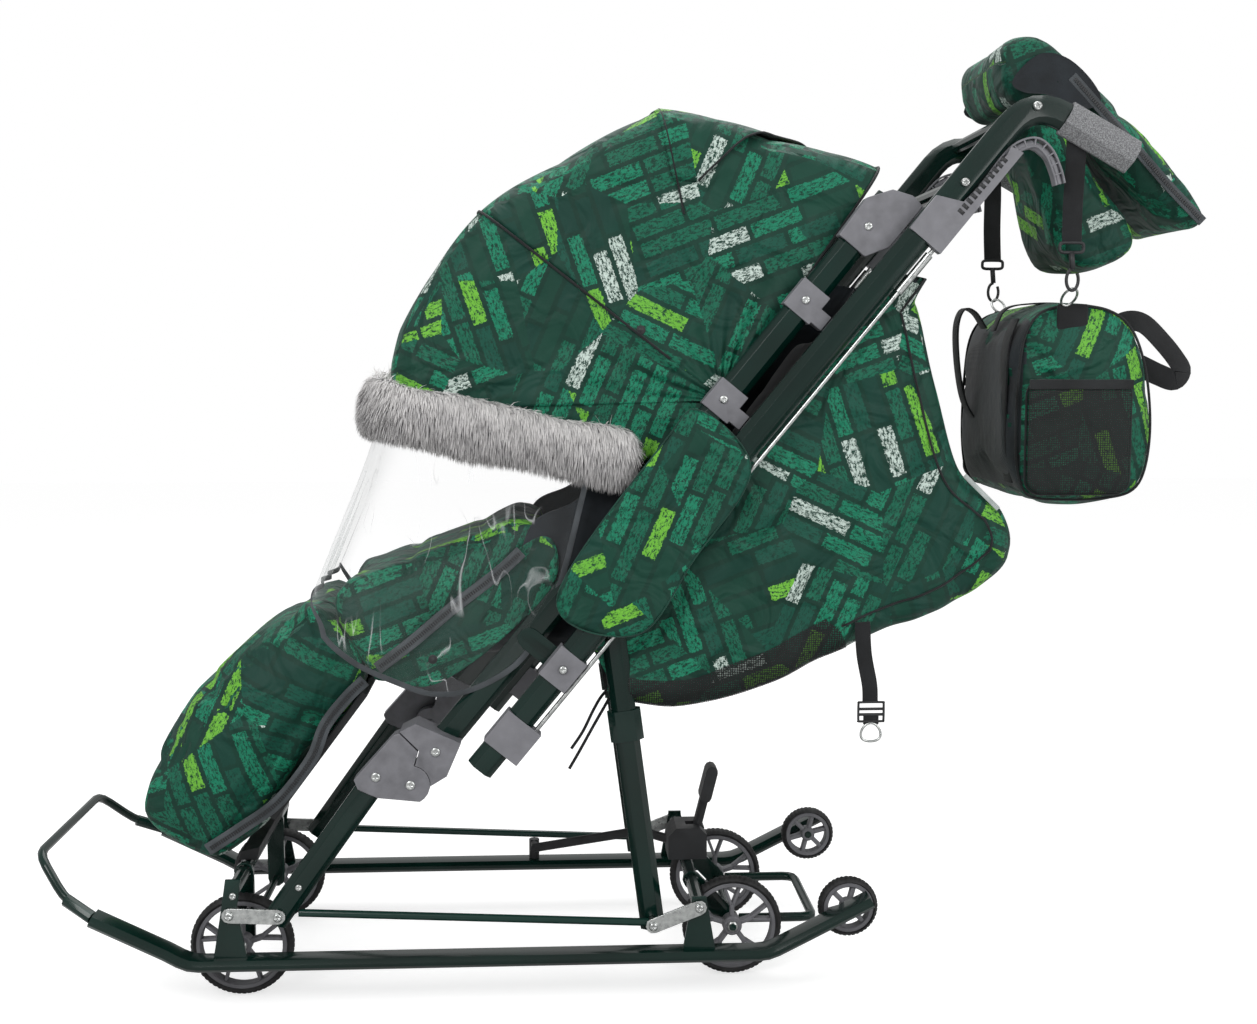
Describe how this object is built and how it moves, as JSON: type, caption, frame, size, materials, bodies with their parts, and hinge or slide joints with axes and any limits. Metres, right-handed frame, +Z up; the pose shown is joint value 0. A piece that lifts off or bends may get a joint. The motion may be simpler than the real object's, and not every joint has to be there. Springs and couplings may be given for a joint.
{
  "type": "sled pushchair",
  "caption": "Winter pushchair on sled runners with lift-up wheels, a folding hooded seat, a flip-over push handle, a foot cover, a bag and a hand muff.",
  "frame": {"origin": "on the ground, at the bottom middle of the whole object's bounding box", "axes": "+X from the bow to the push handle, +Y to the child's left-hand rear seen from the handle's right, +Z up"},
  "size_m": [1.5964, 0.435, 1.296],
  "materials": {
    "sled_frame": "gloss dark green powder coat",
    "front_bow": "gloss dark green powder coat",
    "footrest_stop": "black moulded plastic",
    "latch_box": "black moulded plastic",
    "front_tie_plate_left": "zinc plated",
    "front_tie_plate_right": "zinc plated",
    "rear_tie_plate_left": "zinc plated",
    "rear_tie_plate_right": "zinc plated",
    "foot_rail_left": "gloss dark green powder coat",
    "foot_rail_right": "gloss dark green powder coat",
    "front_leg_left": "gloss dark green powder coat",
    "front_leg_right": "gloss dark green powder coat",
    "hinge_lower_left": "grey moulded plastic",
    "hinge_lower_right": "grey moulded plastic",
    "front_wheel_frame": "gloss dark green powder coat",
    "rear_wheel_frame": "gloss dark green powder coat",
    "lift_pedal": "gloss dark green powder coat",
    "lift_lever": "black moulded plastic",
    "rear_leg_frame": "gloss dark green powder coat",
    "back_frame": "gloss dark green powder coat",
    "hinge_upper_left": "grey moulded plastic",
    "hinge_upper_right": "grey moulded plastic",
    "canopy_clamp_left": "grey moulded plastic",
    "canopy_clamp_right": "grey moulded plastic",
    "hook_clamp_left": "grey moulded plastic",
    "hook_clamp_right": "grey moulded plastic",
    "top_clamp_left": "grey moulded plastic",
    "top_clamp_right": "grey moulded plastic",
    "pivot_plate_left": "zinc plated",
    "pivot_plate_right": "zinc plated",
    "seat_cushion": "dark lining or webbing",
    "lap_cover": "printed green polyester",
    "canopy_rear": "printed green polyester",
    "rear_apron": "printed green polyester",
    "rear_strap": "dark lining or webbing",
    "backrest": "dark lining or webbing",
    "footrest_board": "black moulded plastic",
    "foot_cover": "printed green polyester",
    "canopy_front": "printed green polyester",
    "fur_trim": "grey long-pile fur",
    "rain_shield": "clear flexible film",
    "handle_frame": "gloss dark green powder coat",
    "hand_muff": "printed green polyester",
    "grip_left": "grey foam",
    "grip_right": "grey foam",
    "pivot_clamp_left": "grey moulded plastic",
    "pivot_clamp_right": "grey moulded plastic",
    "latch_bar_left": "grey moulded plastic",
    "release_lever_left": "grey moulded plastic",
    "latch_bar_right": "grey moulded plastic",
    "release_lever_right": "grey moulded plastic",
    "bag_strap_left": "dark lining or webbing",
    "bag_strap_right": "dark lining or webbing",
    "bag": "printed green polyester",
    "front_wheel_left": "black rubber tyre on a grey plastic rim",
    "front_wheel_right": "black rubber tyre on a grey plastic rim",
    "rear_wheel_left": "black rubber tyre on a grey plastic rim",
    "rear_wheel_right": "black rubber tyre on a grey plastic rim",
    "small_wheel_left": "black rubber tyre on a grey plastic rim",
    "small_wheel_right": "black rubber tyre on a grey plastic rim"
  },
  "bodies": {
    "base": {"sled_frame": "sled_frame", "front_bow": "front_bow", "footrest_stop": "footrest_stop", "latch_box": "latch_box", "front_tie_plate_left": "front_tie_plate_left", "front_tie_plate_right": "front_tie_plate_right", "rear_tie_plate_left": "rear_tie_plate_left", "rear_tie_plate_right": "rear_tie_plate_right", "foot_rail_left": "foot_rail_left", "foot_rail_right": "foot_rail_right", "front_leg_left": "front_leg_left", "front_leg_right": "front_leg_right", "hinge_lower_left": "hinge_lower_left", "hinge_lower_right": "hinge_lower_right"},
    "front_lift": {"front_wheel_frame": "front_wheel_frame"},
    "rear_lift": {"rear_wheel_frame": "rear_wheel_frame", "lift_pedal": "lift_pedal"},
    "lever": {"lift_lever": "lift_lever"},
    "rear_legs": {"rear_leg_frame": "rear_leg_frame"},
    "seat_frame": {"back_frame": "back_frame", "hinge_upper_left": "hinge_upper_left", "hinge_upper_right": "hinge_upper_right", "canopy_clamp_left": "canopy_clamp_left", "canopy_clamp_right": "canopy_clamp_right", "hook_clamp_left": "hook_clamp_left", "hook_clamp_right": "hook_clamp_right", "top_clamp_left": "top_clamp_left", "top_clamp_right": "top_clamp_right", "pivot_plate_left": "pivot_plate_left", "pivot_plate_right": "pivot_plate_right", "seat_cushion": "seat_cushion", "lap_cover": "lap_cover", "canopy_rear": "canopy_rear", "rear_apron": "rear_apron", "rear_strap": "rear_strap"},
    "back_cushion": {"backrest": "backrest"},
    "footrest": {"footrest_board": "footrest_board", "foot_cover": "foot_cover"},
    "hood": {"canopy_front": "canopy_front", "fur_trim": "fur_trim", "rain_shield": "rain_shield"},
    "handle": {"handle_frame": "handle_frame", "hand_muff": "hand_muff", "grip_left": "grip_left", "grip_right": "grip_right", "pivot_clamp_left": "pivot_clamp_left", "pivot_clamp_right": "pivot_clamp_right"},
    "release_left_body": {"latch_bar_left": "latch_bar_left", "release_lever_left": "release_lever_left"},
    "release_right_body": {"latch_bar_right": "latch_bar_right", "release_lever_right": "release_lever_right"},
    "hang_straps": {"bag_strap_left": "bag_strap_left", "bag_strap_right": "bag_strap_right"},
    "hang_bag": {"bag": "bag"},
    "front_wheel_left_body": {"front_wheel_left": "front_wheel_left"},
    "front_wheel_right_body": {"front_wheel_right": "front_wheel_right"},
    "rear_wheel_left_body": {"rear_wheel_left": "rear_wheel_left"},
    "rear_wheel_right_body": {"rear_wheel_right": "rear_wheel_right"},
    "small_wheel_left_body": {"small_wheel_left": "small_wheel_left"},
    "small_wheel_right_body": {"small_wheel_right": "small_wheel_right"}
  },
  "joints": [
    {"name": "front_wheel_left_spin", "type": "hinge", "parent": "front_lift", "child": "front_wheel_left_body", "pos_m": [-0.523, -0.1475, 0.07], "axis": [0, 1, 0], "continuous": true},
    {"name": "front_wheel_right_spin", "type": "hinge", "parent": "front_lift", "child": "front_wheel_right_body", "pos_m": [-0.523, 0.1475, 0.07], "axis": [0, 1, 0], "continuous": true},
    {"name": "rear_wheel_left_spin", "type": "hinge", "parent": "rear_lift", "child": "rear_wheel_left_body", "pos_m": [0.149, -0.11, 0.07], "axis": [0, 1, 0], "continuous": true},
    {"name": "rear_wheel_right_spin", "type": "hinge", "parent": "rear_lift", "child": "rear_wheel_right_body", "pos_m": [0.149, 0.11, 0.07], "axis": [0, 1, 0], "continuous": true},
    {"name": "small_wheel_left_spin", "type": "hinge", "parent": "base", "child": "small_wheel_left_body", "pos_m": [0.302, -0.166, 0.113], "axis": [0, 1, 0], "continuous": true},
    {"name": "small_wheel_right_spin", "type": "hinge", "parent": "base", "child": "small_wheel_right_body", "pos_m": [0.302, 0.166, 0.113], "axis": [0, 1, 0], "continuous": true},
    {"name": "fold", "type": "hinge", "parent": "base", "child": "seat_frame", "pos_m": [-0.289, 0, 0.301], "axis": [0, 1, 0], "range_deg": [0, 26], "deforming": ["rear_apron", "rear_strap", "foot_cover"]},
    {"name": "rear_leg_swing", "type": "hinge", "parent": "base", "child": "rear_legs", "pos_m": [0.032, 0, 0.104], "axis": [0, 1, 0], "range_deg": [0, 36.97]},
    {"name": "handle_flip", "type": "hinge", "parent": "seat_frame", "child": "handle", "pos_m": [-0.08745, 0, 0.45431], "axis": [0, -1, 0], "range_deg": [0, 80], "deforming": ["fur_trim", "rain_shield", "bag", "bag_strap_left", "bag_strap_right"]},
    {"name": "wheel_lift", "type": "hinge", "parent": "base", "child": "rear_lift", "pos_m": [0.094, 0, 0.128], "axis": [0, -1, 0], "range_deg": [0, 60]},
    {"name": "front_wheel_lift", "type": "hinge", "parent": "base", "child": "front_lift", "pos_m": [-0.5235, 0, 0.1625], "axis": [0, -1, 0], "range_deg": [0, 88.01]},
    {"name": "lift_lever_turn", "type": "hinge", "parent": "base", "child": "lever", "pos_m": [0.109, 0, 0.174], "axis": [0, 1, 0], "range_deg": [0, 25]},
    {"name": "canopy_fold", "type": "hinge", "parent": "seat_frame", "child": "hood", "pos_m": [0.127, 0, 0.80564], "axis": [0, 1, 0], "range_deg": [0, 75], "deforming": ["rain_shield", "fur_trim"]},
    {"name": "backrest_recline", "type": "hinge", "parent": "seat_frame", "child": "back_cushion", "pos_m": [0.04, 0, 0.53], "axis": [0, -1, 0], "range_deg": [0, 25]},
    {"name": "footrest_raise", "type": "hinge", "parent": "seat_frame", "child": "footrest", "pos_m": [-0.3, 0, 0.436], "axis": [0, 1, 0], "range_deg": [0, 25], "deforming": ["foot_cover"]},
    {"name": "strap_swing", "type": "hinge", "parent": "handle", "child": "hang_straps", "pos_m": [0.5835, 0, 1.16254], "axis": [0, 1, 0], "range_deg": [0, 80.01], "deforming": ["bag_strap_left", "bag_strap_right", "bag"]},
    {"name": "bag_swing", "type": "hinge", "parent": "hang_straps", "child": "hang_bag", "pos_m": [0.5835, 0, 0.9545], "axis": [0, -1, 0], "range_deg": [0, 26.01], "deforming": ["bag"]},
    {"name": "release_left", "type": "slide", "parent": "handle", "child": "release_left_body", "axis": [0.6361, 0, 0.7716], "range_m": [0, 0.012], "stiffness_N_per_m": 400},
    {"name": "release_right", "type": "slide", "parent": "handle", "child": "release_right_body", "axis": [0.6361, 0, 0.7716], "range_m": [0, 0.012], "stiffness_N_per_m": 400}
  ],
  "couplings": [
    {"joint": "rear_leg_swing", "follows": "fold", "ratio": 1.42},
    {"joint": "front_wheel_lift", "follows": "wheel_lift", "ratio": 1.4667},
    {"joint": "strap_swing", "follows": "handle_flip", "ratio": 1},
    {"joint": "bag_swing", "follows": "fold", "ratio": 1}
  ]
}
